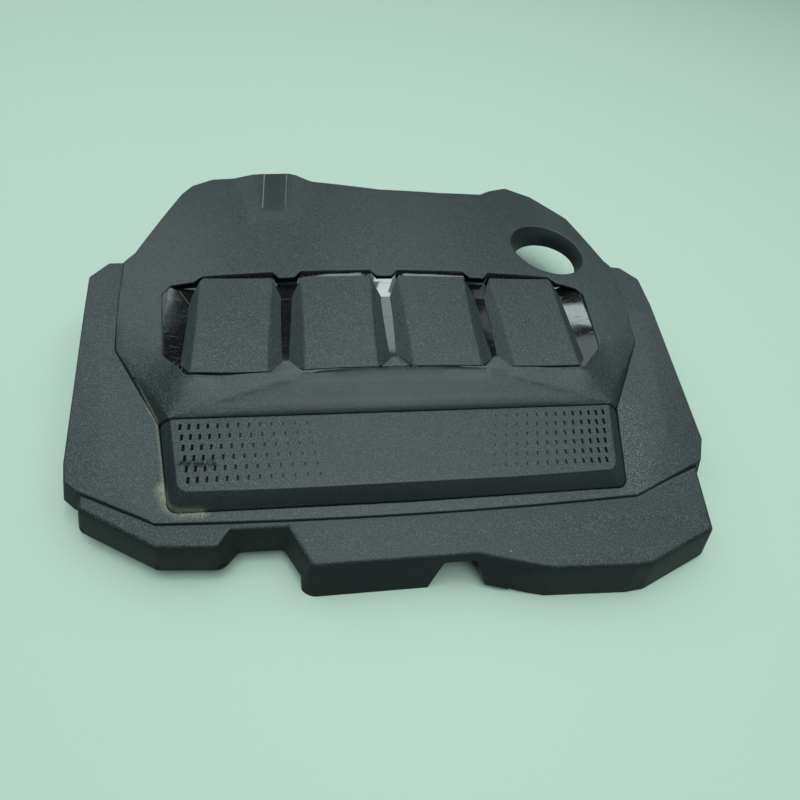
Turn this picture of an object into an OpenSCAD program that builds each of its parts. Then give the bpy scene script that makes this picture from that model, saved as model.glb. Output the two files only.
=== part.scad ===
/* [Crown] */
// Radius of the gentle crown that all top surfaces share
crown_r = 1600; // [1400:50:2200]
// Height of the crown's peak above the floor
crown_z = 85.5; // [82:0.5:95]
// Distance of the crown's peak behind the origin
crown_y = 110; // [90:5:130]
// Wall of the moulded shells
wall = 2.5; // [2:0.1:3]
// Clearance between neighbouring mouldings
fit_gap = 0.3; // [0.2:0.05:0.5]

/* [Panel] */
// Rear edge of the panel
panel_rear_y = 234.5; // [230:0.5:240]

/* [Cylinder pads] */
// Pitch of the four pads, about the bore pitch of the engine
pad_pitch = 90; // [86:0.5:92]
// Sideways place of the middle of the pad group
pad_group_x = -4; // [-8:1:4]
// Half width of a pad's flat top
pad_top_half = 30.5; // [28:0.5:32]
// Half width of a pad's foot at its widest
pad_foot_half = 40; // [38:0.5:41]
// Front edge of the pads
pad_front_y = -47; // [-50:1:-44]
// Rear edge of the pads
pad_rear_y = 65; // [60:1:68]
// How far the pads lie below the crown at its peak
pad_sink = 3.5; // [2:0.5:5]
// Slope of a pad's side bevel
pad_bevel_slope = 0.85; // [0.7:0.05:1]

/* [Gloss insert] */
// Depth of the insert's floor below the crown
floor_drop = 9.5; // [8:0.5:11]
// Sheet thickness of the insert
insert_wall = 2.2; // [1.8:0.1:2.8]
// Half width of the window at its ends, from the pad group's middle
window_half = 198; // [190:1:202]
// Slope of the ramp at the rear of the insert
rear_ramp = 0.38; // [0.3:0.02:0.5]
// Slope of the ramps at both ends of the insert
end_ramp = 0.36; // [0.3:0.02:0.45]

/* [Fascia and bar] */
// Place of the seam between fascia and bar
seam_y = -79; // [-82:1:-76]
// Height of that seam
seam_z = 57; // [55:0.5:60]
// Half width of the seam at its top
seam_half = 185; // [180:1:188]
// Depth of the bar's top face along its slope, at its ends
bar_depth = 59.4; // [56:0.2:62]
// How far the middle of the bar's front edge bows forward
bar_bow = 2.4; // [0:0.2:4]
// Half width of the bar's top face at its front edge
bar_front_half = 172.5; // [168:0.5:176]
// Downward slope of the bar's top face
bar_slope = 9; // [7:0.5:11]
// Corner radius of the bar's top face
bar_corner = 9; // [6:0.5:12]

/* [Dash pattern] */
// Rows of dashes
dash_rows = 6; // [4:1:6]
// Columns of dashes at each end
dash_columns = 13; // [8:1:13]
// Distance between rows
dash_row_pitch = 8.8; // [8:0.1:9]
// First step between columns
dash_step = 6.6; // [6:0.1:7.5]
// Growth of the step from column to column
dash_step_growth = 0.27; // [0.1:0.01:0.35]
// Length of the outermost dashes
dash_length = 5.2; // [4:0.1:6]
// Width of the outermost dashes
dash_width = 2.3; // [1.6:0.1:2.8]
// Depth of the dashes
dash_depth = 0.8; // [0.4:0.1:1.2]

/* [Side frame] */
// Half width of the opening at the bar's front
foot_half = 179.5; // [176:0.5:184]
// Half width of the opening at the seam
opening_seam_half = 194; // [191:1:198]
// Half width of the opening where the fascia's side wall runs out
opening_mid_half = 236; // [233:1:238]
// How much wider than that the opening is at the rear of the wings, on each side
opening_flare = 10; // [8:1:13]
// Front edge of the opening, at the bar's foot
foot_y = -153.5; // [-155:0.5:-151]
// How far the middle of that edge bows forward
foot_bow = 1.5; // [0:0.1:3]
// Height of the frame's top at the seam
frame_z = 50; // [48:0.5:52]
// Slope of the frame's top towards the front
frame_slope = 0.125; // [0.11:0.005:0.14]
// Depth of the ledge below the frame's top
ledge_drop = 10; // [9:0.5:12]
// Width of the ledge
ledge_width = 9; // [7:0.5:12]
// Depth of the frame's outer walls
frame_depth = 24; // [20:1:28]
// Front edge of the strip before the bar, in its middle
strip_y = -161; // [-163:0.5:-159]
// How far that edge bows forward
strip_bow = 4; // [2:0.5:5]
// Outward draft of the frame's walls, as a share per millimetre of height
frame_draft = 0.00125; // [0.001:0.00005:0.0014]

/* [Front skirt] */
// Height of the skirt's top at the strip
skirt_z = 37.6; // [36:0.2:38.4]
// Slope of the skirt's top towards the front
skirt_slope = 0.04; // [0.02:0.01:0.06]
// Front edge of the middle of the skirt, at its top
skirt_front_y = -196.5; // [-201:0.5:-192]
// Outward draft of the skirt's walls, per millimetre of height
skirt_draft = 0.28; // [0.2:0.01:0.34]
// Height of the rim at the left part of the skirt
left_rim_z = 12; // [8:1:16]
// Height of the rim at the right part of the skirt
right_rim_z = 4; // [2:1:8]
// Height of the arch in the skirt's front wall
arch_z = 28; // [20:1:30]

/* [Front skirt, right part] */
// Front edge of the right part of the skirt, at its top
skirt_deep_y = -214.5; // [-220:0.5:-210]

/* [Filler well] */
// Sideways place of the filler well
well_x = 178; // [174:1:180]
// Fore and aft place of the filler well
well_y = 113; // [108:1:117]
// Radius of the filler opening
well_bore_r = 34; // [30:0.5:36]
// Radius of the well at the panel
well_top_r = 40; // [38:0.5:42]
// Depth of the conical part
well_cone_depth = 12; // [8:0.5:15]
// Length of the collar below the cone
collar_length = 10; // [6:0.5:14]

/* [Rear bump] */
// Sideways place of the locating bump
bump_x = -107; // [-112:1:-102]
// Half width of the bump's top
bump_half = 15; // [13:0.5:18]
// Front edge of the bump's top
bump_front_y = 158; // [150:1:165]
// Height of the bump above the crown at the rear
bump_rise = 4; // [3:0.5:5]
// Height of the bump above the crown at its front edge
bump_front_rise = 2; // [1:0.25:3]
// Slope of the bump's flanks
bump_flank = 0.2; // [0.16:0.01:0.3]
// Slope of the bump's front
bump_ramp = 0.1; // [0.08:0.01:0.2]
// Half width of the tongue on the bump
tongue_half = 12; // [10:0.5:12.5]
// Depth of the tongue's outline step
tongue_step = 0.8; // [0.4:0.1:1.2]

/* [Stud sockets] */
// Radius of the socket cups
socket_r = 14; // [13:0.5:16]
// Radius of the bore that takes the engine's ball stud
stud_bore_r = 4.8; // [4:0.1:5.5]
// Length of the rubber grommets
grommet_length = 16; // [12:1:20]
// Height of the front sockets' mouths above the floor
front_mouth_z = 6; // [4:1:10]
// Reach of a post's cross ribs where they meet the shell
rib_reach = 24; // [20:1:24]
// Thickness of the cross ribs
rib_thickness = 2; // [1.6:0.1:3]
// Height of a cross rib's end below the shell
rib_end = 8; // [4:1:8]

/* [Acoustic foam] */
// Thickness of the foam
foam_thickness = 16; // [10:1:20]
// Front edge of the foam
foam_front_y = 72; // [70:1:76]
// Rear edge of the foam
foam_rear_y = 132; // [120:1:134]

/* [Hidden] */
$fn = 48;
big = 900;

pad_x = [for (i = [0:3]) pad_group_x + (i - 1.5) * pad_pitch];
gap_x = [for (i = [0:2]) (pad_x[i] + pad_x[i + 1]) / 2];

// Height of the crown at a place in the plan
function crown_at(x, y) = crown_z - crown_r + sqrt(pow(crown_r, 2) - x * x - pow(y - crown_y, 2));

// Height of the frame's top at a distance y, on its long front facet
function frame_at(y) = frame_z + frame_slope * (y - seam_y);

// Where the frame's top turns flat towards the rear, and its height there
frame_turn_y = 30;
frame_rear_slope = -0.02;

// Places of the four ball studs: two in front, two at the rear
stud_places = [[-150, -108], [150, -108], [-165, 182], [92, 168]];

// Half width of the opening at the rear of the wings, and where the wings end
opening_rear_half = opening_mid_half + opening_flare;
wing_rear_y = 98;

// The fore and aft middle of the whole cover, to a tenth so that the sockets lie on whole tenths
skirt_reach = skirt_deep_y - skirt_draft * (skirt_z - right_rim_z);
middle_y = round(5 * (panel_rear_y + skirt_reach)) / 10;

// An edge across the cover that bows forward in its middle, as points from left to right
function bowed(half, y, bow) = [for (k = [-1:0.25:1]) [k * half, y + bow * k * k]];

// Everything below a sloped plane through p
module under_plane(p, slope_x, slope_y) {
    translate(p)
        rotate(a = acos(1 / norm([slope_x, slope_y, 1])), v = [slope_y, -slope_x, 0])
            translate([-big, -big, -2 * big])
                cube(2 * big);
}

// Everything below the crown's sphere, laid so that it passes through p with these slopes
module crown_through(p, slope_x, slope_y, inset = 0) {
    normal = [-slope_x, -slope_y, 1] / norm([slope_x, slope_y, 1]);
    translate(p - crown_r * normal)
        rotate([90, 0, 0])
            sphere(r = crown_r - inset, $fn = 300);
}

module crown(inset = 0) {
    crown_through([0, crown_y, crown_z], 0, 0, inset);
}

// A plan outline whose walls lean outward towards the floor, true to size at height z_ref
module drafted(z_ref, z_top, draft) {
    low = 1 + draft * z_ref;
    high = 1 + draft * (z_ref - z_top);
    linear_extrude(height = z_top, scale = high / low)
        scale(low)
            children();
}

// The outlines are drawn about a datum behind the bar: this puts the middle of the footprint at the origin
module placed() {
    translate([0, -middle_y, 0])
        children();
}

// Top panel, with the fascia that falls from the pads to the bar

panel_rear = [
    [opening_rear_half - fit_gap, wing_rear_y], [241, 104], [220, 178], [186, 216], [157, 230], [134, 218.5],
    [121, 208.5], [73, 204.5], [6, 205.5], [-26, 212], [-71, 222], [-92, panel_rear_y - 2],
    [-175, panel_rear_y], [-196, 223.5], [-205, 208], [-237, 110], [fit_gap - opening_rear_half, wing_rear_y]
];
panel_side = [
    [opening_seam_half - fit_gap, seam_y + fit_gap / 2],
    [opening_mid_half - fit_gap, -7],
    [opening_mid_half + 3 - fit_gap, 27]
];

module panel_outline() {
    left = [for (i = [len(panel_side) - 1:-1:0]) [-panel_side[i][0], panel_side[i][1]]];
    offset(r = 5)
        offset(delta = -5)
            polygon(concat(panel_side, panel_rear, left));
}

// The fascia is a fan of planes through the seam's outer corner
fascia_slope = 0.66;
fascia_side_slopes = [[-0.08, 0.347], [-0.27, 0.222], [-0.92, 0.689]];

module fascia_fan(inset) {
    intersection() {
        under_plane([0, seam_y, seam_z - inset], 0, fascia_slope);
        fascia_side(inset, 1);
        fascia_side(inset, -1);
    }
}

module fascia_side(inset, side) {
    intersection_for(slopes = fascia_side_slopes)
        under_plane([side * seam_half, seam_y, seam_z - inset], side * slopes[0], slopes[1]);
}

module panel_form(inset) {
    intersection() {
        linear_extrude(height = crown_z + 10)
            offset(delta = -inset)
                panel_outline();
        crown(inset);
        fascia_fan(inset * 1.15);
    }
}

// Everything below the bump's top surface, which climbs from the crown towards the rear
bump_climb = (bump_rise - bump_front_rise) / (panel_rear_y - bump_front_y);
crown_slope_y = (crown_y - bump_front_y) / crown_r;

function on_bump(x) = [x, bump_front_y, crown_at(x, bump_front_y) + bump_front_rise];

module under_bump(drop) {
    crown_through(on_bump(bump_x) - [0, 0, drop], -bump_x / crown_r, crown_slope_y + bump_climb);
}

module bump_form(inset) {
    intersection() {
        linear_extrude(height = crown_z + 10)
            intersection() {
                offset(delta = -inset)
                    panel_outline();
                translate([bump_x - 50, bump_front_y - 40])
                    square([100, 130]);
            }
        under_bump(inset);
        intersection_for(side = [-1, 1]) {
            edge_x = bump_x + side * bump_half;
            under_plane(on_bump(edge_x) - [0, 0, inset],
                -side * bump_flank - edge_x / crown_r, crown_slope_y + bump_climb);
        }
        under_plane(on_bump(bump_x) - [0, 0, inset], -bump_x / crown_r, crown_slope_y + bump_ramp);
    }
}

// The shallow tongue on the bump, open at the rear edge
module tongue_cut() {
    difference() {
        translate([bump_x, bump_front_y + 3, crown_z - 30])
            linear_extrude(height = 60)
                offset(r = 5)
                    offset(delta = -5)
                        translate([-tongue_half, 0])
                            square([2 * tongue_half, 120]);
        under_bump(tongue_step);
    }
}

// The window in the panel: one bay for each pad, drawn in at the gaps between them
module window_outline(grow) {
    notch_y = pad_rear_y - 6.5;
    rear_y = pad_rear_y + 1.5;
    front_y = pad_front_y - 0.5;
    tab_y = pad_front_y + 9;
    left_x = pad_group_x - window_half;
    right_x = pad_group_x + window_half;
    corner_x = pad_x[3] + pad_foot_half;
    offset(delta = grow)
        polygon(concat(
            [[left_x + 8, -22], [pad_x[0] - pad_foot_half + 6, front_y]],
            [for (x = gap_x, p = [[-13, front_y], [-3, tab_y], [3, tab_y], [13, front_y]]) [x + p[0], p[1]]],
            [[corner_x - 6, front_y], [right_x - 4, -22], [right_x + 1, 46], [right_x - 5, 54]],
            [[corner_x - 2, 59], [corner_x - 9, rear_y]],
            [for (i = [2:-1:0], p = [[13, rear_y], [7, notch_y], [-7, notch_y], [-13, rear_y]])
                [gap_x[i] + p[0], p[1]]],
            [[pad_x[0] - pad_foot_half + 9, rear_y], [pad_x[0] - pad_foot_half + 2, 60]],
            [[left_x + 5, 58], [left_x - 1, 48]]
        ));
}

module window_cut(grow) {
    linear_extrude(height = crown_z + 20)
        window_outline(grow);
}

// Everything below a surface parallel to the frame's top, by the drop
module under_frame(drop) {
    intersection() {
        under_plane([0, seam_y, frame_z - drop], 0, frame_slope);
        under_plane([0, frame_turn_y, frame_at(frame_turn_y) - drop], 0, frame_rear_slope);
    }
}

well_z = crown_at(well_x, well_y) - well_cone_depth;
well_widening = (well_top_r - well_bore_r) / well_cone_depth;

module well_body() {
    translate([well_x, well_y, well_z]) {
        cylinder(h = 30, r1 = well_bore_r + wall, r2 = well_bore_r + wall + 30 * well_widening);
        translate([0, 0, -collar_length])
            cylinder(h = collar_length, r = well_bore_r + wall);
    }
}

module well_cut() {
    translate([well_x, well_y, well_z]) {
        cylinder(h = 30, r1 = well_bore_r, r2 = well_bore_r + 30 * well_widening);
        translate([0, 0, -collar_length - 1])
            cylinder(h = collar_length + 1, r = well_bore_r);
    }
}

module top_panel() {
    color([0.20, 0.23, 0.22])
        placed()
            difference() {
                union() {
                    difference() {
                        union() {
                            panel_form(0);
                            bump_form(0);
                        }
                        union() {
                            panel_form(wall);
                            bump_form(wall);
                        }
                        under_frame(ledge_drop);
                        window_cut(0);
                    }
                    intersection() {
                        panel_form(wall / 2);
                        well_body();
                    }
                }
                well_cut();
                tongue_cut();
            }
}

// Gloss insert: a thin sheet with ramps at its rear and at both ends

module insert_form(drop) {
    foot_y2 = pad_rear_y - 25;
    end_x = window_half - 22;
    end_y = 10;
    z_drop = floor_drop + drop;
    crown_through([0, crown_y, crown_z - z_drop], 0, 0);
    crown_through([0, foot_y2, crown_at(0, foot_y2) - z_drop], 0, rear_ramp);
    for (side = [-1, 1]) {
        x = pad_group_x + side * end_x;
        crown_through([x, end_y, crown_at(x, end_y) - z_drop],
            side * end_ramp, (crown_y - end_y) / crown_r);
    }
}

module gloss_insert() {
    color([0.03, 0.03, 0.035])
        placed()
            difference() {
                intersection() {
                    window_cut(-fit_gap);
                    crown(0.6);
                    fascia_fan(0.6);
                    insert_form(0);
                }
                insert_form(insert_wall);
            }
}

// Cylinder pads

module pad_outline() {
    half_rear = pad_top_half - 2;
    rear_cut_y = pad_rear_y - 24;
    front_cut_y = pad_front_y + 13;
    polygon([
        [-half_rear, pad_rear_y], [half_rear, pad_rear_y], [pad_foot_half - 1, rear_cut_y],
        [pad_foot_half, front_cut_y], [pad_top_half, pad_front_y], [-pad_top_half, pad_front_y],
        [-pad_foot_half, front_cut_y], [1 - pad_foot_half, rear_cut_y]
    ]);
}

module pad_form(x, inset) {
    bevel_y = 10;
    intersection() {
        translate([x, 0, 0])
            linear_extrude(height = crown_z)
                offset(delta = -inset)
                    pad_outline();
        crown_through([0, pad_rear_y + 10, crown_z - pad_sink - inset], 0, 0);
        intersection_for(side = [-1, 1]) {
            edge_x = x + side * pad_top_half;
            edge_z = crown_at(edge_x, bevel_y) - pad_sink + 1.5 - 1.3 * inset;
            under_plane([edge_x, bevel_y, edge_z],
                -side * pad_bevel_slope, (crown_y - bevel_y) / crown_r);
        }
    }
}

module pad(x) {
    color([0.21, 0.235, 0.23])
        placed()
            difference() {
                pad_form(x, 0);
                pad_form(x, wall);
                insert_form(-fit_gap);
            }
}

// Trim bar with its dash pattern

bar_y = seam_y - fit_gap / 2;
dash_margin_x = 8;
dash_margin_y = 7.6;

module bar_top_outline(inset) {
    offset(r = bar_corner)
        offset(delta = -bar_corner - inset)
            polygon(concat(
                bowed(bar_front_half, -bar_depth - bar_bow, bar_bow),
                [[seam_half, bar_corner], [-seam_half, bar_corner]]
            ));
}

// The part of the opening that the bar's foot fills
module foot_outline(inset) {
    offset(r = bar_corner)
        offset(delta = -bar_corner - inset)
            polygon(concat(
                bowed(foot_half, foot_y, foot_bow),
                [[opening_seam_half, seam_y + 5], [-opening_seam_half, seam_y + 5]]
            ));
}

// Places a child on the bar's sloped top face
module on_bar_top() {
    translate([0, seam_y, seam_z])
        rotate([bar_slope, 0, 0])
            children();
}

// The bar's foot, whose rim lies on the frame's sloped top
module bar_foot(inset) {
    intersection() {
        linear_extrude(height = seam_z)
            foot_outline(inset + fit_gap);
        under_plane([0, seam_y, frame_z - inset / 2], 0, frame_slope);
    }
}

module bar_form(inset) {
    hull() {
        on_bar_top()
            translate([0, 0, -inset - 0.1])
                linear_extrude(height = 0.1)
                    bar_top_outline(inset);
        bar_foot(inset);
    }
}

// Distance of a column of dashes from the outermost column
function dash_run(column) = column * dash_step + dash_step_growth * column * (column - 1) / 2;

module dashes() {
    row_shift = (seam_half - bar_front_half) / bar_depth;
    for (side = [-1, 1], row = [0:dash_rows - 1], column = [0:dash_columns - 1]) {
        y = -dash_margin_y - row * dash_row_pitch;
        fade = 1 - 0.6 * column / dash_columns;
        x = seam_half + row_shift * y - dash_margin_x - dash_run(column);
        translate([side * x, y, 0])
            cube([dash_width * fade, dash_length * fade, 2 * dash_depth], center = true);
    }
}

module trim_bar() {
    color([0.17, 0.19, 0.19])
        placed()
            difference() {
                bar_form(0);
                bar_form(wall);
                under_plane([0, seam_y, frame_z - ledge_drop], 0, frame_slope);
                translate([-big / 2, bar_y, 0])
                    cube([big, 50, 100]);
                on_bar_top()
                    dashes();
            }
}

// Side frame: both wings and the strip in one moulding, with the opening's ledge and tray

// The wings' outer edges from front to rear: how far beyond the opening's half width, and y
wing_right = [[12.5, -131.5], [18.5, -128], [28.5, -108.5], [41, 81.5], [26.5, 101], [7, 104]];
wing_left = [[7.5, -128.5], [16.5, -121], [20.5, -106], [41, 82.5], [27.5, 103], [7, 104]];

module frame_outline() {
    offset(r = 4)
        offset(delta = -4)
            polygon(concat(
                bowed(foot_half + 5, strip_y, strip_bow),
                [for (p = wing_right) [opening_mid_half + p[0], p[1]]],
                [for (i = [len(wing_left) - 1:-1:0]) [-opening_mid_half - wing_left[i][0], wing_left[i][1]]]
            ));
}

module opening_outline(grow) {
    open_y = wing_rear_y + 42;
    side = [
        [opening_seam_half, seam_y], [opening_mid_half, -7], [opening_mid_half + 3, 27],
        [opening_rear_half, wing_rear_y], [opening_rear_half, open_y]
    ];
    offset(r = bar_corner)
        offset(delta = grow - bar_corner)
            polygon(concat(
                bowed(foot_half, foot_y, foot_bow),
                side,
                [for (i = [len(side) - 1:-1:0]) [-side[i][0], side[i][1]]]
            ));
}

// The ridges along the wings and round their front corners
ridge_point = [232, -107];
ridge_slopes = [[-0.10, frame_slope + 0.0176], [-0.05, frame_slope + 0.0413]];

module frame_prism(grow) {
    drafted(frame_z, crown_z, frame_draft)
        offset(delta = grow)
            frame_outline();
}

module frame_form(inset) {
    intersection() {
        frame_prism(-inset);
        under_frame(inset);
        intersection_for(side = [-1, 1], slopes = ridge_slopes)
            under_plane([side * ridge_point[0], ridge_point[1], frame_at(ridge_point[1]) - inset],
                side * slopes[0], slopes[1]);
    }
}

module side_frame() {
    tray_y = seam_y + 14;
    color([0.19, 0.215, 0.21])
        placed()
            difference() {
                union() {
                    difference() {
                        frame_form(0);
                        frame_form(wall);
                        under_plane([0, seam_y, frame_z - frame_depth], 0, frame_slope);
                    }
                    difference() {
                        intersection() {
                            frame_form(wall / 2);
                            linear_extrude(height = crown_z)
                                opening_outline(wall);
                        }
                        under_frame(ledge_drop + wall);
                    }
                }
                difference() {
                    linear_extrude(height = crown_z)
                        opening_outline(0);
                    under_frame(ledge_drop);
                }
                linear_extrude(height = crown_z)
                    intersection() {
                        opening_outline(-ledge_width);
                        translate([-big / 2, tray_y])
                            square(big);
                    }
            }
}

// Front skirt, with a notch on the left and an arch in the middle part's front wall

// Its plan in four convex parts, left to right, so that each one's walls can lean outward
skirt_parts = [
    [[-246, -100], [-246, -128], [-243, -143], [-186.5, -175.5], [-145.5, -178.5], [-134.5, -165.5], [-134.5, -100]],
    [[-140, -100], [-140, -166], [-90, -166.5], [-90, -100]],
    [[-94.5, -100], [-94.5, -166.5], [-76.5, skirt_front_y], [58, skirt_front_y], [58, -100]],
    [
        [30, -100], [30, -192.5], [88, -208.5], [102, -211.5], [168, skirt_deep_y], [181, skirt_deep_y + 1],
        [241, -191], [253, -131], [253, -100]
    ]
];

module skirt_form(inset) {
    top_z = skirt_z + 4;
    intersection() {
        for (part = skirt_parts)
            hull()
                for (z = [0, top_z])
                    translate([0, 0, z])
                        linear_extrude(height = 0.01)
                            offset(delta = skirt_draft * (skirt_z - z) - inset)
                                offset(r = 4)
                                    offset(delta = -4)
                                        polygon(part);
        under_plane([0, strip_y, skirt_z - inset], 0, skirt_slope);
    }
}

module arch_cut() {
    translate([0, skirt_front_y + 12, 0])
        rotate([90, 0, 0])
            linear_extrude(height = 50)
                offset(r = 3)
                    offset(delta = -3)
                        polygon([[8, -5], [20, arch_z], [45, arch_z], [56, -5]]);
}

module front_skirt() {
    color([0.18, 0.20, 0.20])
        placed()
            difference() {
                skirt_form(0);
                skirt_form(wall);
                frame_prism(fit_gap);
                arch_cut();
                translate([-big / 2 - 86, -big / 2, -1])
                    cube([big / 2, big, left_rim_z + 1]);
                translate([72, -big / 2, -1])
                    cube([big / 2, big, right_rim_z + 1]);
            }
}

// Acoustic foam under the panel, behind the window

module foam_pad() {
    foam_left = -212;
    foam_right = well_x - well_top_r - wall - 8;
    foam_gap = wall + fit_gap;
    color([0.12, 0.12, 0.12])
        placed()
            difference() {
                intersection() {
                    translate([foam_left, foam_front_y, 0])
                        linear_extrude(height = crown_z)
                            offset(r = 8)
                                offset(delta = -8)
                                    square([foam_right - foam_left, foam_rear_y - foam_front_y]);
                    crown(foam_gap);
                }
                crown(foam_gap + foam_thickness);
            }
}

// Stud sockets: cups on cross ribbed posts, moulded by themselves and welded under the shell

cup_height = grommet_length + wall;

function is_front(i) = i < 2;

function mouth_z(i) = is_front(i) ? front_mouth_z : 0;

// Places a child at the mouth of socket i
module at_mouth(i) {
    placed()
        translate([stud_places[i][0], stud_places[i][1], mouth_z(i)])
            children();
}

// Everything below the shell that carries socket i
module under_shell(i) {
    if (is_front(i))
        under_frame(ledge_drop + wall + fit_gap);
    else
        crown(wall + fit_gap);
}

module stud_post(i) {
    x = stud_places[i][0];
    y = stud_places[i][1];
    shell_z = (is_front(i) ? frame_at(y) - ledge_drop : crown_at(x, y)) - wall - mouth_z(i);
    color([0.10, 0.11, 0.11])
        intersection() {
            placed()
                under_shell(i);
            at_mouth(i)
                for (angle = [45:90:315])
                    rotate([90, 0, angle])
                        linear_extrude(height = rib_thickness, center = true)
                            polygon([
                                [0, cup_height], [socket_r, cup_height],
                                [rib_reach, shell_z - rib_end], [rib_reach, crown_z], [0, crown_z]
                            ]);
        }
}

module stud_cup(i) {
    color([0.10, 0.11, 0.11])
        at_mouth(i)
            difference() {
                cylinder(h = cup_height, r = socket_r);
                translate([0, 0, -1])
                    cylinder(h = grommet_length + 1, r = socket_r - wall);
            }
}

// Rubber grommets that take the ball studs

module grommet(i) {
    lip = 1.2;
    color([0.06, 0.06, 0.06])
        at_mouth(i)
            difference() {
                cylinder(h = grommet_length, r = socket_r - wall - fit_gap / 2);
                translate([0, 0, -1])
                    cylinder(h = grommet_length - 2, r = stud_bore_r);
                translate([0, 0, -0.01])
                    cylinder(h = lip, r1 = stud_bore_r + lip, r2 = stud_bore_r);
            }
}

side_frame();
front_skirt();
top_panel();
gloss_insert();
pad(pad_x[0]);  // cylinder_pad_1
pad(pad_x[1]);  // cylinder_pad_2
pad(pad_x[2]);  // cylinder_pad_3
pad(pad_x[3]);  // cylinder_pad_4
trim_bar();
foam_pad();
stud_post(0);  // stud_post_1
stud_post(1);  // stud_post_2
stud_post(2);  // stud_post_3
stud_post(3);  // stud_post_4
stud_cup(0);  // stud_cup_1
stud_cup(1);  // stud_cup_2
stud_cup(2);  // stud_cup_3
stud_cup(3);  // stud_cup_4
grommet(0);  // grommet_1
grommet(1);  // grommet_2
grommet(2);  // grommet_3
grommet(3);  // grommet_4
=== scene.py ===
# %% [markdown]
# # A moulded engine cover
#
# An engine cover is a shallow plastic shell that hides the top of an engine. This one is put together from a few
# mouldings: a wide frame with two wings, a crowned top panel, a skirt that hangs in front, a trim bar with a pattern
# of dashes, and a gloss insert that shows between four pads. Foam sits underneath, and so do ribbed posts, each with
# a socket cup and a rubber grommet.
#
# The solids come from the CAD model, in metres and already in their places. What CAD leaves out is what this lesson
# adds: the small radii that every moulded edge has, the soft creases and gentle bends of the surface, and the
# finishes.

import math

import bmesh
import bpy
from mathutils import Matrix, Vector


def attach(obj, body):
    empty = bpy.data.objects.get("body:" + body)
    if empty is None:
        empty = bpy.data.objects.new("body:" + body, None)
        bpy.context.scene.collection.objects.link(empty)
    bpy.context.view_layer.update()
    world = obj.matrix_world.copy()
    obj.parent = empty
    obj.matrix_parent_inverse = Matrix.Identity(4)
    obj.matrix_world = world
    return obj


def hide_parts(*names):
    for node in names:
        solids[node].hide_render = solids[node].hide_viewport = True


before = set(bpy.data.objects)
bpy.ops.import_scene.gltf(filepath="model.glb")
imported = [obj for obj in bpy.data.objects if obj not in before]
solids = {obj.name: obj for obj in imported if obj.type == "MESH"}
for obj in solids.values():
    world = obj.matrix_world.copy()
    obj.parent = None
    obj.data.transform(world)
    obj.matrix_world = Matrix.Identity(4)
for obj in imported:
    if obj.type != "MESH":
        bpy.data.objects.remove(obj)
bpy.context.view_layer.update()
print(f"{len(solids)} solids:", ", ".join(sorted(solids)))

# %% [markdown]
# The camera comes first, because every later choice is judged through it. A phone camera held over a table has a
# wide lens and is hardly ever level, so it is described here as a person would: where it is, which way it faces, how
# far it tips down, and how far it rolls.

# %% Place the camera
MM = 0.001
CAMERA_AT = Vector((-0.0722, -0.352295, 0.4238))
FACING, TIPPED_DOWN, ROLLED = math.radians(14.28), math.radians(51.83), math.radians(-9.57)
LENS = 25.007

ahead = Vector((math.sin(FACING) * math.cos(TIPPED_DOWN), math.cos(FACING) * math.cos(TIPPED_DOWN),
                -math.sin(TIPPED_DOWN)))
level = Vector((math.cos(FACING), -math.sin(FACING), 0))
down = ahead.cross(level)
right = math.cos(ROLLED) * level + math.sin(ROLLED) * down
up = math.sin(ROLLED) * level - math.cos(ROLLED) * down

eye = bpy.data.objects.new("camera", bpy.data.cameras.new("camera"))
eye.data.lens = LENS
eye.data.clip_start = 0.01
eye.matrix_world = Matrix.Translation(CAMERA_AT) @ Matrix((right, up, -ahead)).transposed().to_4x4()
bpy.context.scene.collection.objects.link(eye)
bpy.context.scene.camera = eye
print(f"lens of {LENS:.1f} mm, {CAMERA_AT.length:.2f} m from the middle of the cover's foot")

# %% [markdown]
# A material is a small graph of nodes, and a graph is easier to read as a sum. `Wire` wraps one socket and gives it
# the arithmetic signs, so that `1 - dust` adds a Math node by itself. `Finish` is one material. Its method `node`
# makes any other node: the node's type, then its settings, then what goes into its sockets.

# %% Write shader maths as sums
class Wire:
    """One output of a node, with the signs of arithmetic."""

    def __init__(self, finish, socket):
        self.finish, self.socket = finish, socket

    def math(self, operation, *values):
        return self.finish.node("ShaderNodeMath", {"operation": operation}, dict(enumerate(values)))

    def __add__(self, other):
        return self.math("ADD", self, other)

    def __radd__(self, other):
        return self.math("ADD", other, self)

    def __sub__(self, other):
        return self.math("SUBTRACT", self, other)

    def __rsub__(self, other):
        return self.math("SUBTRACT", other, self)

    def __mul__(self, other):
        return self.math("MULTIPLY", self, other)

    def __abs__(self):
        return self.math("ABSOLUTE", self)

    def most(self, other):
        return self.math("MAXIMUM", self, other)


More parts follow.
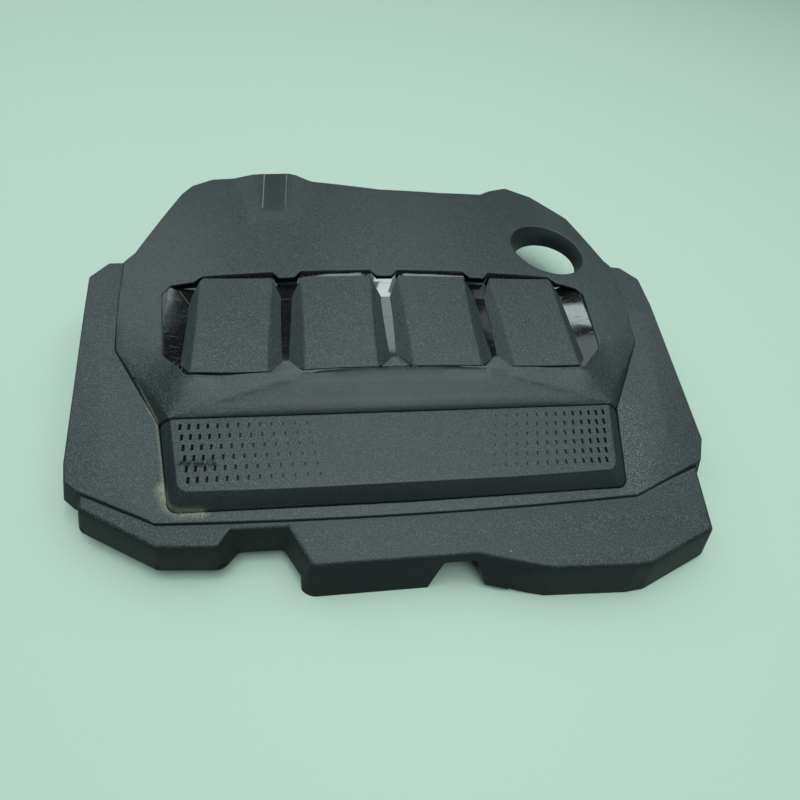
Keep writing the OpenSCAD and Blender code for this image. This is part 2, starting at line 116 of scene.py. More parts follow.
class Finish:
    """One material: a shader, and the nodes that feed it."""

    def __init__(self, name, **shader):
        self.material = bpy.data.materials.new(name)
        self.material.use_nodes = True
        self.tree = self.material.node_tree
        self.shader = self.tree.nodes["Principled BSDF"]
        self.feed(**shader)

    def plug(self, socket, value):
        if isinstance(value, Wire):
            self.tree.links.new(value.socket, socket)
        elif socket.type == "RGBA" and len(value) == 3:
            socket.default_value = (*value, 1)
        else:
            socket.default_value = value

    def feed(self, **values):
        for name, value in values.items():
            self.plug(self.shader.inputs[name.replace("_", " ")], value)

    def node(self, kind, settings=None, inputs=None, output=0):
        made = self.tree.nodes.new(kind)
        for name, value in (settings or {}).items():
            setattr(made, name, value)
        for key, value in (inputs or {}).items():
            self.plug(made.inputs[key], value)
        return Wire(self, made.outputs[output])

    def place(self):
        return self.node("ShaderNodeTexCoord", output="Object")

    def noise(self, per_metre, detail=2.0, rough=0.5, stretch=(1, 1, 1)):
        where = self.node("ShaderNodeMapping", {"vector_type": "POINT"}, {"Vector": self.place(), "Scale": stretch})
        return self.node("ShaderNodeTexNoise", None,
                         {"Vector": where, "Scale": per_metre, "Detail": detail, "Roughness": rough})

    def between(self, value, low, high):
        return self.node("ShaderNodeMapRange", {"interpolation_type": "SMOOTHSTEP"},
                         {"Value": value, "From Min": low, "From Max": high})

    def mix(self, amount, first, second):
        return self.node("ShaderNodeMix", {"data_type": "RGBA"}, {0: amount, 6: first, 7: second}, output=2)

    def bump(self, height, metres):
        return self.node("ShaderNodeBump", None, {"Height": height, "Distance": metres, "Strength": 1.0})


# %% [markdown]
# Wear and dust sit in known places: in a crevice, along a foot, at a nick. `along` gives a mask that is 1 on the line
# between two points of the cover and fades to 0 at a reach from it. It finds the nearest point of the line with
# vector maths, so the same mask works on every face, whichever way the face looks.

# %% Find how near a place is to a line
def along(finish, start, end, reach):
    run = Vector(end) - Vector(start)
    from_start = finish.node("ShaderNodeVectorMath", {"operation": "SUBTRACT"}, {0: finish.place(), 1: start})
    share = finish.node("ShaderNodeVectorMath", {"operation": "DOT_PRODUCT"},
                        {0: from_start, 1: run / max(run.length_squared, 1e-9)}, output="Value")
    share = finish.node("ShaderNodeClamp", None, {"Value": share})
    nearest = finish.node("ShaderNodeVectorMath", {"operation": "SCALE"}, {0: run, "Scale": share})
    away = finish.node("ShaderNodeVectorMath", {"operation": "DISTANCE"}, {0: from_start, 1: nearest}, output="Value")
    return finish.between(away, reach, 0)


def path_of(finish, points, reach):
    mask = along(finish, points[0], points[1], reach)
    for start, end in zip(points[1:], points[2:]):
        mask = mask.most(along(finish, start, end, reach))
    return mask


# %% [markdown]
# All mouldings are the same black plastic, and they differ in their grain. Spark-eroded tool steel leaves a matte
# grain on the frame and the pads, while the top panel is smoother, with long faint streaks where hands wiped it. Two
# noises do that: a fine one for the grain, which lifts the surface a tenth of a millimetre, and a coarse, stretched
# one for the streaks, which changes how rough the sheen is.
#
# The peaks of the grain are painted pale, partly as rubbed wear and partly as painted glints of the light, nearly only
# where the surface looks up, so a mask on the normal keeps the walls dark and dull and the tops painted lighter.
# Everything else is local and is drawn with the masks of the step before: dust in a crevice, a scuff, a nick, painted
# highlights along the two sides of the locating tongue, a facet painted brighter with more glinting peaks, and the
# polished strip of the locating tongue, which has no grain peaks.

# %% Make the plastics
DUST = (0.33, 0.32, 0.235)
SCUFF = (0.006, 0.006, 0.006)
# The pale colour below is for chips and burrs. It is also used for painted highlights along the sides of the locating
# tongue.
CHIP_AND_HIGHLIGHT = (0.30, 0.33, 0.31)
# The pale peaks are partly rubbed wear and partly painted glints. They show mostly on faces that look up, so tops are
# painted lighter than walls.
PEAK = (0.085, 0.102, 0.107)
PEAK_SHOW, PEAK_SHOW_GLINTING, PEAK_SHOW_ON_WALLS = 0.5, 0.6, 0.1
PEAK_BAND, UPWARD_BAND, STREAK_BAND = (0.48, 0.62), (0.55, 0.95), (0.3, 0.75)
CRUMB_BAND, SCUFF_BAND = (0.42, 0.62), (0.38, 0.52)
WALL_ROUGHER = 0.25


def plastic(name, colour, roughness, grain_size, grain_height, streaks, streak_stretch, dusts=(), scuffs=(), chips_and_highlights=(),
            glinting=None, smooth=None, shine=0.5):
    finish = Finish(name, Specular_IOR_Level=shine)
    grain = finish.noise(1 / grain_size, detail=2, rough=0.6)
    facing = finish.node("ShaderNodeTexCoord", output="Normal")
    upward = finish.between(finish.node("ShaderNodeSeparateXYZ", None, {"Vector": facing}, output="Z"), *UPWARD_BAND)
    smear = finish.noise(9, detail=4, rough=0.6, stretch=streak_stretch)
    peaks = finish.between(grain, *PEAK_BAND)
    paler = tuple(1.8 * part for part in colour)
    shade = finish.mix(finish.between(smear, *STREAK_BAND), colour, paler)
    # Pale grain peaks, partly rubbed wear and partly painted glints, mostly on faces that look up. The walls get a
    # tenth of them, so they stay painted darker.
    amount = peaks * (upward * (1 - PEAK_SHOW_ON_WALLS) + PEAK_SHOW_ON_WALLS) * PEAK_SHOW
    # On the listed facet more pale peaks are painted, which makes a brighter facet full of painted glints.
    if glinting:
        amount = amount + peaks * path_of(finish, *glinting) * PEAK_SHOW_GLINTING
    if smooth:
        amount = amount * (1 - path_of(finish, *smooth))
    shade = finish.mix(amount, shade, PEAK)
    sheen = roughness + (grain - 0.5) * 0.5 + (smear - 0.5) * streaks + (1 - upward) * WALL_ROUGHER
    for points, reach, strength in dusts:
        crumbs = finish.between(finish.noise(900, detail=3, rough=0.7), *CRUMB_BAND)
        dust = path_of(finish, points, reach) * (0.25 + crumbs * 0.75) * strength
        shade = finish.mix(dust, shade, DUST)
        sheen = sheen + dust * 0.5
    for points, reach in scuffs:
        scuff = path_of(finish, points, reach) * finish.between(finish.noise(420, detail=2), *SCUFF_BAND)
        shade = finish.mix(scuff, shade, SCUFF)
        sheen = sheen + scuff * 0.5
    # Pale spots and lines: real chips and burrs, and painted highlights along the sides of the locating tongue.
    for start, end, reach in chips_and_highlights:
        shade = finish.mix(along(finish, start, end, reach) * 0.8, shade, CHIP_AND_HIGHLIGHT)
    finish.feed(Base_Color=shade, Roughness=sheen, Normal=finish.bump(grain, grain_height))
    print(f"{name}: grain of {1000 * grain_size:.1f} mm, {len(finish.tree.nodes)} nodes")
    return finish.material


FOOT_DUST = [(-0.2243, -0.0290, 0.062), (-0.2100, -0.0561, 0.056), (-0.1943, -0.0822, 0.049),
             (-0.1864, -0.1224, 0.044), (-0.1831, -0.1421, 0.041), (-0.1787, -0.1508, 0.040),
             (-0.1712, -0.1553, 0.040), (-0.1466, -0.1562, 0.040)]
FOOT_CORNER = [(-0.1850, -0.1380, 0.041), (-0.1787, -0.1508, 0.040), (-0.1712, -0.1553, 0.040),
               (-0.1560, -0.1562, 0.040)]
FOOT_LINE = [(-0.1466, -0.1572, 0.041), (0.1500, -0.1572, 0.041)]
PAD_EDGE_DUST = [(-0.1740, -0.0100, 0.078), (-0.1765, -0.0300, 0.076), (-0.1790, -0.0420, 0.072)]
BAR_SCUFF = [(-0.1717, -0.1240, 0.0550), (-0.1481, -0.1254, 0.0548)]
# A facet of the frame's right wing, painted brighter with glints.
GLINTING_FACET = [(0.196, -0.088, 0.047), (0.190, -0.150, 0.042)]
TONGUE = [(-0.1072, 0.1700, 0.0822), (-0.1080, 0.2280, 0.0808)]
# The two sides of the locating tongue, where pale lines are painted as edge highlights.
TONGUE_LEFT_HIGHLIGHT = [(-0.1190, 0.1620, 0.0815), (-0.1190, 0.2260, 0.0798)]
TONGUE_RIGHT_HIGHLIGHT = [(-0.0950, 0.1620, 0.0832), (-0.0950, 0.2260, 0.0822)]
SKIRT_NICKS = [(0.0701, -0.2023, 0.036), (0.2020, -0.2122, 0.036)]
FRAME_BURRS = [(-0.0747, -0.1573, 0.041), (0.0657, -0.1577, 0.041), (0.1103, -0.1561, 0.041)]
PANEL_SCUFF = [(0.2125, 0.0470, 0.079), (0.2155, 0.0430, 0.079)]
PAD_SCUFF = [(0.1286, 0.0335, 0.079), (0.1326, 0.0330, 0.079)]

# The frame gets one facet of its right wing painted brighter with glints.
frame_plastic = plastic("frame_plastic", (0.0045, 0.0078, 0.0085), 0.48, 0.0011, 0.00014, 0.16, (1, 0.45, 1),
                        shine=0.45,
                        dusts=[(FOOT_DUST, 0.0030, 0.8), (FOOT_CORNER, 0.009, 0.9), (FOOT_LINE, 0.0018, 0.6)],
                        chips_and_highlights=[(burr, burr, 0.0012) for burr in FRAME_BURRS], glinting=(GLINTING_FACET, 0.030))
skirt_plastic = plastic("skirt_plastic", (0.0045, 0.0078, 0.0085), 0.46, 0.0011, 0.00014, 0.16, (0.5, 1, 1),
                        shine=0.36, chips_and_highlights=[(nick, nick, 0.0010) for nick in SKIRT_NICKS])
# The panel gets pale lines painted along the sides of the locating tongue as edge highlights.
panel_plastic = plastic("panel_plastic", (0.0045, 0.0082, 0.0085), 0.44, 0.0011, 0.00009, 0.22, (1, 0.3, 1),
                        dusts=[(FOOT_DUST[:3], 0.0028, 0.6)], chips_and_highlights=[(*TONGUE_LEFT_HIGHLIGHT, 0.0010), (*TONGUE_RIGHT_HIGHLIGHT, 0.0008)],
                        scuffs=[(PANEL_SCUFF, 0.0010)], smooth=(TONGUE, 0.024))
pad_plastic = plastic("pad_plastic", (0.0045, 0.0078, 0.0082), 0.50, 0.0012, 0.00016, 0.12, (1, 1, 1),
                      dusts=[(PAD_EDGE_DUST, 0.0045, 0.75)], scuffs=[(PAD_SCUFF, 0.0010)])
bar_plastic = plastic("bar_plastic", (0.0042, 0.0072, 0.0082), 0.46, 0.0010, 0.00008, 0.16, (0.4, 1, 1), shine=0.42,
                      dusts=[(FOOT_CORNER, 0.006, 0.8)], scuffs=[(BAR_SCUFF, 0.0045)])
socket_plastic = plastic("socket_plastic", (0.0095, 0.0130, 0.0140), 0.55, 0.0012, 0.00004, 0.1, (1, 1, 1))

# %% [markdown]
# Four finishes differ in kind. The insert is polished, so its roughness is close to nothing, with hairline scratches
# and settled dust that only a mirror shows. The floors of the dashes are coloured nearly black and matte. The outer
# ones are black, and towards the middle of the bar, where the dashes get small, they fade into the plastic. Foam is
# open cells: a Voronoi pattern, deep and fully matte, each cell painted darker towards its sunken border as shade in
# the dips. Rubber has a dull bloom.

# %% Make the gloss, the dash floors, the foam and the rubber
DASH_BLACK_AT, DASH_FADED_AT = 165 * MM, 75 * MM
FOAM_CELLS_PER_METRE = 520.0


def gloss_black():
    finish = Finish("gloss_black", Specular_IOR_Level=0.5)
    hairlines = finish.between(finish.noise(260, detail=2, rough=0.4, stretch=(0.15, 2.6, 1)), 0.62, 0.70)
    settled = finish.between(finish.noise(700, detail=2, rough=0.7), 0.60, 0.72)
    haze = finish.noise(35, detail=3)
    finish.feed(Base_Color=finish.mix(settled * 0.2, (0.004, 0.0042, 0.0045), (0.10, 0.105, 0.10)),
                Roughness=0.07 + hairlines * 0.12 + settled * 0.25 + (haze - 0.5) * 0.08,
                Normal=finish.bump(finish.noise(55, detail=1), 0.00006))
    return finish.material


def dash_floor():
    finish = Finish("dash_floor", Specular_IOR_Level=0.15)
    across = abs(finish.node("ShaderNodeSeparateXYZ", None, {"Vector": finish.place()}, output="X"))
    fading = finish.between(across, DASH_BLACK_AT, DASH_FADED_AT)
    mottle = finish.noise(900, detail=3)
    # The floors are coloured nearly black at the ends of the bar and fade into the plastic towards its middle, broken
    # up by a mottle.
    finish.feed(Base_Color=finish.mix(fading * (0.4 + mottle * 0.6), (0.001, 0.001, 0.001), (0.050, 0.062, 0.064)),
                Roughness=0.85 + mottle * 0.1)
    return finish.material


def open_foam():
    finish = Finish("foam", Specular_IOR_Level=0.2)
    cells = finish.node("ShaderNodeTexVoronoi", {"feature": "F1"},
                        {"Vector": finish.place(), "Scale": FOAM_CELLS_PER_METRE}, output="Distance")
    blotch = finish.noise(30, detail=3)
    # The colour darkens towards each cell's border, where the bump sinks: painted shade in the dips between cells.
    finish.feed(Base_Color=finish.mix(cells, (0.045, 0.045, 0.047), (0.012, 0.012, 0.013)),
                Roughness=0.9 + blotch * 0.1, Normal=finish.bump(1 - cells, 0.0007))
    return finish.material


def grommet_rubber():
    finish = Finish("grommet_rubber", Specular_IOR_Level=0.35)
    bloom = finish.noise(160, detail=4, rough=0.7)
    finish.feed(Base_Color=finish.mix(finish.between(bloom, 0.4, 0.75), (0.012, 0.012, 0.012), (0.05, 0.05, 0.048)),
                Roughness=0.6 + bloom * 0.25, Normal=finish.bump(bloom, 0.00008))
    return finish.material


gloss, dash_dark, foam, rubber = gloss_black(), dash_floor(), open_foam(), grommet_rubber()
print("insert, dash floors, foam and rubber are ready")

# %% [markdown]
# A CAD solid has knife edges, and no moulding has. Each visible piece is therefore a copy of its solid: the loose
# triangles are merged, flat faces are joined up again, and then a bevel rounds the edges. The Bevel modifier could do
# that too, but it knows only one angle limit, and here gentle creases need a wide radius and sharp edges a small
# one. A Weighted Normal modifier keeps the large faces looking flat beside the small round ones. The same helper
# gives each piece the finish it wears, hides the solid it stands for and hangs it on the body it rides on.

# %% Take a moulding from its solid
FLAT, CREASE, EDGE, SHARP = math.radians(0.6), math.radians(2.5), math.radians(14), math.radians(35)
WELD, FINE_WELD = 0.01 * MM, 0.001 * MM


def mould_of(node, weld=WELD):
    mould = bmesh.new()
    mould.from_mesh(solids[node].data)
    bmesh.ops.remove_doubles(mould, verts=mould.verts, dist=weld)
    bmesh.ops.dissolve_limit(mould, angle_limit=FLAT, verts=mould.verts, edges=mould.edges)
    return mould


def turn(edge):
    return edge.calc_face_angle(0)


def round_edges(mould, edges, radius, steps=2):
    return bmesh.ops.bevel(mould, geom=list(edges), offset=radius, offset_type="OFFSET", segments=steps, profile=0.5,
                           affect="EDGES", clamp_overlap=False, material=-1)["faces"]


def keep_piece(mould, name, node, slot, *finishes):
    mesh = bpy.data.meshes.new(name)
    mould.to_mesh(mesh)
    mould.free()
    mesh.shade_smooth()
    for finish in finishes:
        mesh.materials.append(finish)
    piece = bpy.data.objects.new(name, mesh)
    bpy.context.scene.collection.objects.link(piece)
    piece.modifiers.new("flat faces stay flat", "WEIGHTED_NORMAL").keep_sharp = False
    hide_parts(node)
    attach(piece, "root")
    print(f"{name}: {len(mesh.polygons)} faces")


# %% [markdown]
# The ridges on the frame's wings are creases of a few degrees. Light runs over them softly, so they get a wide
# radius, and they come first, while the faces beside them are still whole. Everything that turns sharply gets the
# millimetre that a tool maker breaks an edge with.

# %% Round the frame
def is_crease(edge):
    return CREASE < turn(edge) < 2 * EDGE and all(face.normal.z > 0.8 for face in edge.link_faces)


wings = mould_of("side_frame")
round_edges(wings, [edge for edge in wings.edges if is_crease(edge)], 3 * MM)
round_edges(wings, [edge for edge in wings.edges if turn(edge) > 2 * EDGE], 1 * MM)
keep_piece(wings, "frame_moulding", "side_frame", "frame_plastic", frame_plastic)

# %% [markdown]
# The insert is a tray, and through the gaps between the pads one looks down on its floor. That floor dips in a shallow
# valley that catches a pane of light. The tray is therefore cut along the valley and the cut is lowered. The middle
# gap has no valley, so two pairs of cuts end it there, hidden under the pads. The right rear corner is pulled out
# under the panel, or the table would show past it.

# %% Dip the insert's floor
MIDDLE_X = -4 * MM
FOLD = math.radians(8)
VALLEY_Y, VALLEY_DEPTH, SLOPE_FOOT_Y, SLOPE_HEAD_Y = 54.5 * MM, 5.6 * MM, 34.7 * MM, 60.9 * MM
VALLEY_INNER, VALLEY_OUTER = 15 * MM, 178 * MM
VALLEY_END_X = (-22 * MM, -15 * MM, 7 * MM, 14 * MM)
CORNER_X, CORNER_Y, CORNER_MOVE = 178 * MM, 38 * MM, Vector((3, 10, -1.5)) * MM


def ramp(value, start, end):
    return min(1, max(0, (value - start) / (end - start)))


def cut_through(mould, at, normal):
    bmesh.ops.bisect_plane(mould, geom=mould.verts[:] + mould.edges[:] + mould.faces[:], dist=WELD,
                           plane_co=at, plane_no=normal)


polished = mould_of("gloss_insert")
cut_through(polished, (0, VALLEY_Y, 0), (0, 1, 0))
for side in VALLEY_END_X:
    cut_through(polished, (side, 0, 0), (1, 0, 0))
for vert in polished.verts:
    if VALLEY_INNER < abs(vert.co.x - MIDDLE_X) < VALLEY_OUTER:
        vert.co.z -= VALLEY_DEPTH * ramp(vert.co.y, SLOPE_FOOT_Y, VALLEY_Y) * ramp(vert.co.y, SLOPE_HEAD_Y, VALLEY_Y)
    if vert.co.x > CORNER_X and vert.co.y > CORNER_Y:
        vert.co += CORNER_MOVE
round_edges(polished, [edge for edge in polished.edges if turn(edge) > FOLD], 0.4 * MM)
keep_piece(polished, "insert_moulding", "gloss_insert", "gloss_black", gloss)

# %% [markdown]
# Four pads of one shape would look stiff, because the real ones follow the window. Their feet widen towards the
# front, their rear ends reach back to the panel's lip, and the outer ends of the two outer pads rise with the panel
# beside them. A pad's side bevels meet its top at about forty degrees, which the tool maker broke with a radius of a
# millimetre and a half.

# %% Shape and round the pads
PAD_PITCH, PAD_TOP_HALF, PAD_SLOPE = 90 * MM, 31 * MM, 8.5 * MM
PAD_REAR_Y, PAD_FRONT_Y, PAD_BACKWARD = 55 * MM, -52 * MM, 2.5 * MM
FOOT_WIDER_BACK, FOOT_WIDER_FRONT = 1.2 * MM, 3.6 * MM
LIFT_FROM, LIFT_TO = 110 * MM, 180 * MM


def end_lift(x, forward):
    most = 4.5 + 1.5 * forward if x > 0 else 5 + 4.5 * forward
    return most * MM * ramp(abs(x - MIDDLE_X), LIFT_FROM, LIFT_TO) ** 1.5


for number in range(1, 5):
    pad = mould_of(f"cylinder_pad_{number}")
    middle = MIDDLE_X + (number - 2.5) * PAD_PITCH
    for vert in pad.verts:
        aside = vert.co.x - middle
        forward = ramp(vert.co.y, PAD_REAR_Y, PAD_FRONT_Y)
        if not (number == 1 and aside < 0) and not (number == 4 and aside > 0):
            wider = FOOT_WIDER_BACK + (FOOT_WIDER_FRONT - FOOT_WIDER_BACK) * forward
            vert.co.x += math.copysign(wider * ramp(abs(aside), PAD_TOP_HALF, PAD_TOP_HALF + PAD_SLOPE), aside)
        vert.co.y += PAD_BACKWARD * (1 - forward)
        vert.co.z += end_lift(vert.co.x, forward)
    shoulders = [edge for edge in pad.edges
                 if EDGE < turn(edge) and all(face.normal.z > 0.3 for face in edge.link_faces)]
    round_edges(pad, shoulders, 1.5 * MM, 3)
    round_edges(pad, [edge for edge in pad.edges if turn(edge) > SHARP], 0.7 * MM)
    keep_piece(pad, f"pad_moulding_{number}", f"cylinder_pad_{number}", "pad_plastic", pad_plastic)

# %% [markdown]
# Underneath sit the pieces that hold the cover and quieten it. Each ball stud on the engine presses into a rubber
# grommet, the grommet snaps into a cup, and a ribbed post joins the cup to the shell. They are simple pieces: one
# loop gives each kind its finish and its edge radius, which is wide on foam and small on plastic.

# %% Round the pieces underneath
UNDERNEATH = {
    "foam_pad": ("foam", foam, 2.5 * MM),
    "stud_post": ("socket_plastic", socket_plastic, 0.3 * MM),
    "stud_cup": ("socket_plastic", socket_plastic, 0.4 * MM),
    "grommet": ("grommet_rubber", rubber, 0.4 * MM),
}
for kind, (slot, finish, radius) in UNDERNEATH.items():
    for node in sorted(name for name in solids if name.startswith(kind)):
        piece = mould_of(node)
        round_edges(piece, [edge for edge in piece.edges if turn(edge) > SHARP], radius)
        keep_piece(piece, f"{node}_piece", node, slot, finish)

# %% [markdown]
# The bar's dashes are recesses under a millimetre deep. Rounding them would cost thousands of faces that nobody sees,
# so only the outer edges are rounded. The recesses are found by their depth below the bar's top plane, and they get
# the dark finish as a second material.
#
# The bar stands up at its front, which makes its front wall steep and dark. Each vertex is moved along the line
# towards the camera, the farther forward the more, so that the bar's outline stays where the photograph has it.

# %% Round the bar and darken its dashes
BAR_TOP_AT = Vector((0, -84.3 * MM, 57 * MM))
BAR_TOP_SLOPE = math.radians(9)
DASH_DEPTH = 0.8 * MM
BAR_RISE, RISE_REAR_Y, RISE_FRONT_Y = 6 * MM, -86 * MM, -148 * MM
RISE_BOTTOM, RISE_TOP = 5 * MM, 1 * MM
bar_top_up = Vector((0, -math.sin(BAR_TOP_SLOPE), math.cos(BAR_TOP_SLOPE)))


def is_dash(face):
    deepest = max((BAR_TOP_AT - corner.co).dot(bar_top_up) for corner in face.verts)
    return 0.5 * DASH_DEPTH < deepest < 1.1 * DASH_DEPTH


bar = mould_of("trim_bar")
dash_faces = [face for face in bar.faces if is_dash(face)]
for face in dash_faces:
    face.material_index = 1
dash_edges = {edge for face in dash_faces for edge in face.edges}
round_edges(bar, [edge for edge in bar.edges if turn(edge) > EDGE and edge not in dash_edges], 1.2 * MM)
for vert in bar.verts:
    below = (BAR_TOP_AT - vert.co).dot(bar_top_up)
    rise = BAR_RISE * ramp(vert.co.y, RISE_REAR_Y, RISE_FRONT_Y) * ramp(below, RISE_BOTTOM, RISE_TOP)
    vert.co += (CAMERA_AT - vert.co) * rise / (CAMERA_AT.z - vert.co.z)
keep_piece(bar, "bar_moulding", "trim_bar", "bar_plastic", bar_plastic, dash_dark)
print(f"{len(dash_faces)} faces in the dashes")

# %% [markdown]
# The skirt's upper front edge is the softest of all, a radius of three millimetres that shows as a dark band, because
# it turns away from the light. The upright corners of its steps and notches get two millimetres, before the upper
# edge, so that this one runs round them. The lower rim isn't level: on the right it follows a list of heights. The
# shell's ribs are thin, so this mesh is merged with a finer distance than the others.

# %% Round the skirt
def faces_front(face):
    return face.normal.y < -0.05 or abs(face.normal.x) > 0.9


def is_brow(edge):
    upper = max(edge.link_faces, key=lambda face: face.normal.z)
    lower = min(edge.link_faces, key=lambda face: face.normal.z)
    return turn(edge) > math.radians(30) and upper.normal.z > 0.95 and faces_front(lower)


def is_upright_corner(edge):
    run = edge.verts[1].co - edge.verts[0].co
    return (abs(run.z) > 6 * MM and abs(run.z) > 0.8 * run.length and turn(edge) > math.radians(20)
            and all(abs(face.normal.z) < 0.3 for face in edge.link_faces))


RIM_HEIGHTS = [(50, 5), (72, 3.5), (100, 0.3), (150, 0.3), (200, 2), (262, 4)]
RIM_LEFT_X, RIM_TOP_Z = 50 * MM, 4.2 * MM


def rim_height(x):
    for (left, low), (right, high) in zip(RIM_HEIGHTS, RIM_HEIGHTS[1:]):
        if left * MM <= x <= right * MM:
            return (low + (high - low) * ramp(x, left * MM, right * MM)) * MM


skirt = mould_of("front_skirt", FINE_WELD)
for vert in skirt.verts:
    if vert.co.x > RIM_LEFT_X and vert.co.z < RIM_TOP_Z:
        vert.co.z = rim_height(vert.co.x)
corner_faces = round_edges(skirt, [edge for edge in skirt.edges if is_upright_corner(edge)], 2 * MM, 3)
brow_faces = round_edges(skirt, [edge for edge in skirt.edges if is_brow(edge)], 3 * MM, 4)
keep_piece(skirt, "skirt_moulding", "front_skirt", "skirt_plastic", skirt_plastic)
print(f"{len(corner_faces)} faces in the upright corners, {len(brow_faces)} in the soft upper edge")

# %% [markdown]
# The panel is the largest moulding, and its edges differ. The rear edge gets two millimetres and all others one,
# except the sides of the locating tongue: that step is lower than the radius, so it stays crisp. The faces of the
# round edges are marked, because the next step has to leave them alone.

# %% Round the panel
WELL_AT, WELL_REACH = Vector((190 * MM, 90 * MM)), 50 * MM
REAR_FROM_Y = 75 * MM
TONGUE_BOX = ((-121.5 * MM, -92.5 * MM), (150 * MM, 226.5 * MM))


def middle_of(edge):
    return (edge.verts[0].co + edge.verts[1].co) / 2


def is_sharp_outside_tongue(edge):
    on_tongue = all(low < at < high for at, (low, high) in zip(middle_of(edge), TONGUE_BOX))
    return turn(edge) > SHARP and not on_tongue


def is_rear(edge):
    upper = max(edge.link_faces, key=lambda face: face.normal.z)
    lower = min(edge.link_faces, key=lambda face: face.normal.z)
    middle = middle_of(edge)
    return (upper.normal.z > 0.8 and abs(lower.normal.z) < 0.6 and lower.normal.y > -0.2
            and middle.y > REAR_FROM_Y and (middle.xy - WELL_AT).length > WELL_REACH)


panel = mould_of("top_panel")
rounding = panel.faces.layers.int.new("rounding")
rear = [edge for edge in panel.edges if is_sharp_outside_tongue(edge) and is_rear(edge)]
for face in round_edges(panel, rear, 2 * MM, 3):
    face[rounding] = 1
others = [edge for edge in panel.edges
          if is_sharp_outside_tongue(edge) and not any(face[rounding] for face in edge.link_faces)]
for face in round_edges(panel, others, 1 * MM):
    face[rounding] = 1
print(f"{len(rear)} rear edges and {len(others)} others are round")

# %% [markdown]
# The panel is pressed from soft shapes: its fascia falls away in a fan whose creases are hardly seen, and the
# locating bump at the rear swells out of the crown. There the skin is cut into a five millimetre grid, and its
# vertices are then smoothed in height only, which leaves the marked edges where they are. A subdivision surface
# would soften these creases too, but it would also pull in the window's corners.

# %% Smooth the panel's skin
GRID, SMOOTHINGS = 5 * MM, 8
FASCIA = ((-236 * MM, -86 * MM), (236 * MM, -20 * MM))
BUMP = ((-160 * MM, 135 * MM), (-60 * MM, 232 * MM))


def cut_grid(mould, low, high):
    cuts = 0
    for axis in (0, 1):
        normal = Vector((axis == 0, axis == 1, 0))
        for step in range(int((high[axis] - low[axis]) / GRID) + 1):
            inside = [face for face in mould.faces
                      if any(low[0] < corner.co.x < high[0] and low[1] < corner.co.y < high[1]
                             for corner in face.verts)]
            geometry = list({part for face in inside for part in (face, *face.edges, *face.verts)})
            bmesh.ops.bisect_plane(mould, geom=geometry, dist=WELD, plane_co=normal * (low[axis] + step * GRID),
                                   plane_no=normal)
            cuts += 1
    return cuts


cuts = cut_grid(panel, *FASCIA) + cut_grid(panel, *BUMP)
skin = [vert for vert in panel.verts
        if not any(face[rounding] for face in vert.link_faces)
        and all(edge.calc_length() < 2.2 * GRID for edge in vert.link_edges)
        and len({face.normal.z > 0 for face in vert.link_faces}) == 1
        and all(abs(face.normal.z) > 0.5 for face in vert.link_faces)]
for repeat in range(SMOOTHINGS):
    bmesh.ops.smooth_vert(panel, verts=skin, factor=0.5, use_axis_x=False, use_axis_y=False, use_axis_z=True)
print(f"{cuts} cuts, {len(skin)} vertices of the skin smoothed")

# %% [markdown]
# Between the pads the fascia rises in three low tents. They are made as a sculptor would, by a pull on the skin that
# is strongest at the tip of each tab and fades forward and to both sides. The same kind of pull lifts the window's
# two front corners, the left one more than the right, to meet the outer pads.

# %% Pull up the tents and the window's corners
GAP_X = (-94 * MM, -4 * MM, 86 * MM)
TENT_TIP_Y, TENT_REACH, TENT_HEIGHT = -43.3 * MM, 28 * MM, 1.6 * MM
TENT_HALF_AT_TIP, TENT_HALF_GROWS = 6 * MM, 12 * MM
CORNER_FROM_MIDDLE, CORNER_FRONT_Y, CORNER_REACH = 172 * MM, -48 * MM, 36 * MM
LEFT_CORNER_LIFT, RIGHT_CORNER_LIFT = 7 * MM, 4 * MM


def tent(place):
    forward = max(0, (TENT_TIP_Y - place.y) / TENT_REACH)
    sideways = min(abs(place.x - x) for x in GAP_X) / (TENT_HALF_AT_TIP + TENT_HALF_GROWS * forward)
    return TENT_HEIGHT * max(0, 1 - forward) ** 1.5 * max(0, 1 - sideways)


def corner_lift(place):
    away = math.hypot(abs(place.x - MIDDLE_X) - CORNER_FROM_MIDDLE, place.y - CORNER_FRONT_Y)
    lift = RIGHT_CORNER_LIFT if place.x > 0 else LEFT_CORNER_LIFT
    return lift * (1 - ramp(away, 0, CORNER_REACH)) ** 1.5


for vert in panel.verts:
    if vert.co.y < TENT_TIP_Y + 12 * MM:
        vert.co.z += tent(vert.co)
    if vert.co.y < 0:
        vert.co.z += corner_lift(vert.co)
keep_piece(panel, "panel_moulding", "top_panel", "panel_plastic", panel_plastic)

# %% [markdown]
# The cover lies on a pale table. On black mouldings nearly all that one sees is reflected light, not colour, so each
# lamp is there for what mirrors it. The ceiling panel is wide and dim, and every surface that looks up mirrors it
# softly. The small tube and the two window panes show in the gloss insert, between the pads. The walls are faint
# panes that the steeper faces mirror, and the front lamp fills the faces that look towards the camera. The table
# looks pale to the camera and in reflections, but throws back less light, because a bright table would lift every
# dark wall. For the same reason the room around is dim.

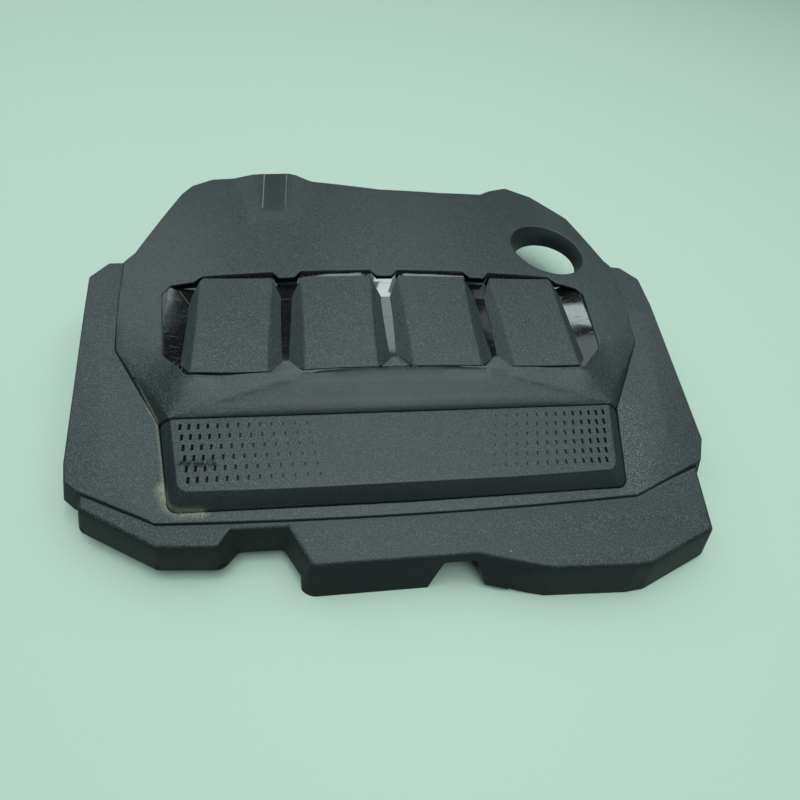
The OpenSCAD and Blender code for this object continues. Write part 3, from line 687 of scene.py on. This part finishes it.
# %% Lay the table and hang the lamps
TABLE_SEEN, TABLE_IN_BOUNCES = (0.41, 0.50, 0.425), (0.12, 0.14, 0.13)
TUBE_LIGHT = (0.84, 1.0, 1.0)
ROOM_COLOUR, ROOM_STRENGTH = (0.72, 0.86, 0.84, 1), 0.09

table = bpy.data.meshes.new("table")
sheet = bmesh.new()
bmesh.ops.create_grid(sheet, x_segments=1, y_segments=1, size=6)
sheet.to_mesh(table)
sheet.free()
floor = bpy.data.objects.new("table", table)
bpy.context.scene.collection.objects.link(floor)
tabletop = Finish("table_top", Roughness=0.55, Specular_IOR_Level=0.3)
bounces = tabletop.node("ShaderNodeLightPath", output="Is Diffuse Ray")
tabletop.feed(Base_Color=tabletop.mix(bounces, TABLE_SEEN, TABLE_IN_BOUNCES))
floor.data.materials.append(tabletop.material)


def lamp(name, at, size, watts):
    light = bpy.data.lights.new(name, "AREA")
    light.shape, light.size, light.size_y, light.energy, light.color = "RECTANGLE", *size, watts, TUBE_LIGHT
    hung = bpy.data.objects.new(name, light)
    facing_the_cover = Vector(at).to_track_quat("Z", "Y").to_matrix().to_4x4()
    hung.matrix_world = Matrix.Translation(at) @ facing_the_cover
    bpy.context.scene.collection.objects.link(hung)


lamp("ceiling_panel", (0, 0.25, 2.4), (4.2, 2.2), 70)
lamp("ceiling_tube", (0.22, 0.36, 2.35), (0.50, 0.28), 5.5)
lamp("ceiling_front", (0.34, -1.12, 2.4), (1.3, 0.9), 22)
lamp("window_middle", (0.415, 1.80, 2.24), (0.27, 0.70), 2.6)
lamp("window_right", (0.05, 1.60, 2.20), (0.30, 0.30), 2.4)
lamp("wall_back", (0.30, 2.30, 1.50), (2.0, 0.8), 4)
lamp("wall_left", (-1.32, 1.57, 1.43), (1.4, 0.9), 8)
lamp("wall_right", (1.60, 1.15, 1.60), (1.4, 0.9), 4)

world = bpy.data.worlds.new("room")
world.use_nodes = True
background = world.node_tree.nodes["Background"]
background.inputs["Color"].default_value = ROOM_COLOUR
background.inputs["Strength"].default_value = ROOM_STRENGTH
bpy.context.scene.world = world
bpy.context.scene.view_settings.view_transform = "Standard"
